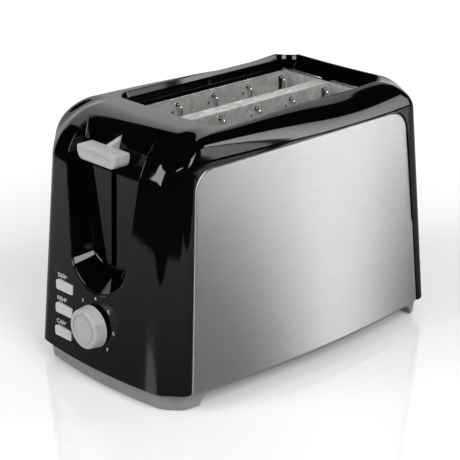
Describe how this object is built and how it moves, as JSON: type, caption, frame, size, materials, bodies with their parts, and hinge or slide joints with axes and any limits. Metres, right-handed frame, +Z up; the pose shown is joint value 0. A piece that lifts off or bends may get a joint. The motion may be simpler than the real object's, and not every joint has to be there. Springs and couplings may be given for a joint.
{
  "type": "pop-up toaster",
  "caption": "Pop-up toaster with bread slots in a recessed top, a lever in a channel, a browning knob, push buttons, steel side panels and a crumb tray.",
  "frame": {"origin": "centre of the footprint's bounding box, on the surface it stands on", "axes": "+X from the lever end to the rear, along the slots; +Y to the left side seen from the rear; +Z up"},
  "size_m": [0.2595, 0.156, 0.172],
  "materials": {
    "black_gloss": "gloss",
    "brushed_steel": "brushed lengthwise",
    "grey_plastic": "satin",
    "light_grey_plastic": "satin",
    "galvanised": "dull sheet",
    "bright_steel": "bright",
    "mica": "flaky",
    "nichrome": "dull",
    "rubber": "matte",
    "laminate": "satin",
    "dark_plastic": "matte",
    "copper_winding": "lacquered"
  },
  "bodies": {
    "toaster": {"housing": "black_gloss", "side_panel_left": "brushed_steel", "side_panel_right": "brushed_steel", "base": "grey_plastic", "top_plate": "galvanised", "front_plate": "galvanised", "rear_plate": "galvanised", "reflector_left": "galvanised", "reflector_right": "galvanised", "magnet_core": "galvanised", "guide_rod": "bright_steel", "lift_spring": "bright_steel", "potentiometer": "bright_steel", "board_screw_1": "bright_steel", "board_screw_2": "bright_steel", "base_screw_front_right": "bright_steel", "base_screw_front_left": "bright_steel", "base_screw_rear_right": "bright_steel", "base_screw_rear_left": "bright_steel", "mica_board_left": "mica", "mica_board_right": "mica", "mica_board_centre": "mica", "heater_ribbon_left": "nichrome", "heater_ribbon_right": "nichrome", "heater_ribbon_centre_left": "nichrome", "heater_ribbon_centre_right": "nichrome", "cord_gland": "rubber", "foot_pad_front_right": "rubber", "foot_pad_front_left": "rubber", "foot_pad_rear_right": "rubber", "foot_pad_rear_left": "rubber", "control_board": "laminate", "switch_defrost": "dark_plastic", "switch_reheat": "dark_plastic", "switch_cancel": "dark_plastic", "timer_capacitor": "dark_plastic", "contact_block": "dark_plastic", "magnet_coil": "copper_winding"},
    "carriage": {"bread_rack_left": "bright_steel", "bread_rack_right": "bright_steel", "carriage_bracket": "galvanised", "armature": "bright_steel", "lever_handle": "light_grey_plastic", "lever_arm": "bright_steel"},
    "guard_right_inner": {"guard_right_inner": "bright_steel"},
    "guard_right_outer": {"guard_right_outer": "bright_steel"},
    "guard_left_inner": {"guard_left_inner": "bright_steel"},
    "guard_left_outer": {"guard_left_outer": "bright_steel"},
    "knob": {"knob": "light_grey_plastic", "knob_shaft": "bright_steel"},
    "defrost_button": {"button_defrost": "light_grey_plastic"},
    "reheat_button": {"button_reheat": "light_grey_plastic"},
    "cancel_button": {"button_cancel": "light_grey_plastic"},
    "crumb_tray": {"crumb_tray": "galvanised", "tray_pull": "black_gloss"}
  },
  "joints": [
    {"name": "lever_slide", "type": "slide", "parent": "toaster", "child": "carriage", "axis": [0, 0, 1], "range_m": [-0.066, 0], "stiffness_N_per_m": 40, "springref_m": 0.045, "deforming": ["lift_spring"]},
    {"name": "guard_right_inner_hinge", "type": "hinge", "parent": "toaster", "child": "guard_right_inner", "pos_m": [0.01724, -0.0092, 0.03], "axis": [1, 0, 0], "range_deg": [0, 2.3]},
    {"name": "guard_right_outer_hinge", "type": "hinge", "parent": "toaster", "child": "guard_right_outer", "pos_m": [0.01724, -0.0324, 0.03], "axis": [-1, 0, 0], "range_deg": [0, 2.3]},
    {"name": "guard_left_inner_hinge", "type": "hinge", "parent": "toaster", "child": "guard_left_inner", "pos_m": [0.01724, 0.0092, 0.03], "axis": [-1, 0, 0], "range_deg": [0, 2.3]},
    {"name": "guard_left_outer_hinge", "type": "hinge", "parent": "toaster", "child": "guard_left_outer", "pos_m": [0.01724, 0.0324, 0.03], "axis": [1, 0, 0], "range_deg": [0, 2.3]},
    {"name": "knob_turn", "type": "hinge", "parent": "toaster", "child": "knob", "pos_m": [-0.12154, 0, 0.0424], "axis": [1, 0, 0], "range_deg": [-202.5, 67.5]},
    {"name": "defrost_press", "type": "slide", "parent": "toaster", "child": "defrost_button", "axis": [1, 0, 0], "range_m": [0, 0.0015], "stiffness_N_per_m": 200, "springref_m": -0.002},
    {"name": "reheat_press", "type": "slide", "parent": "toaster", "child": "reheat_button", "axis": [1, 0, 0], "range_m": [0, 0.0015], "stiffness_N_per_m": 200, "springref_m": -0.002},
    {"name": "cancel_press", "type": "slide", "parent": "toaster", "child": "cancel_button", "axis": [1, 0, 0], "range_m": [0, 0.0015], "stiffness_N_per_m": 200, "springref_m": -0.002},
    {"name": "tray_slide", "type": "slide", "parent": "toaster", "child": "crumb_tray", "axis": [1, 0, 0], "range_m": [0, 0.12]}
  ],
  "couplings": [
    {"joint": "guard_right_inner_hinge", "follows": "lever_slide", "rad_per_m": -0.60606},
    {"joint": "guard_right_outer_hinge", "follows": "lever_slide", "rad_per_m": -0.60606},
    {"joint": "guard_left_inner_hinge", "follows": "lever_slide", "rad_per_m": -0.60606},
    {"joint": "guard_left_outer_hinge", "follows": "lever_slide", "rad_per_m": -0.60606}
  ]
}
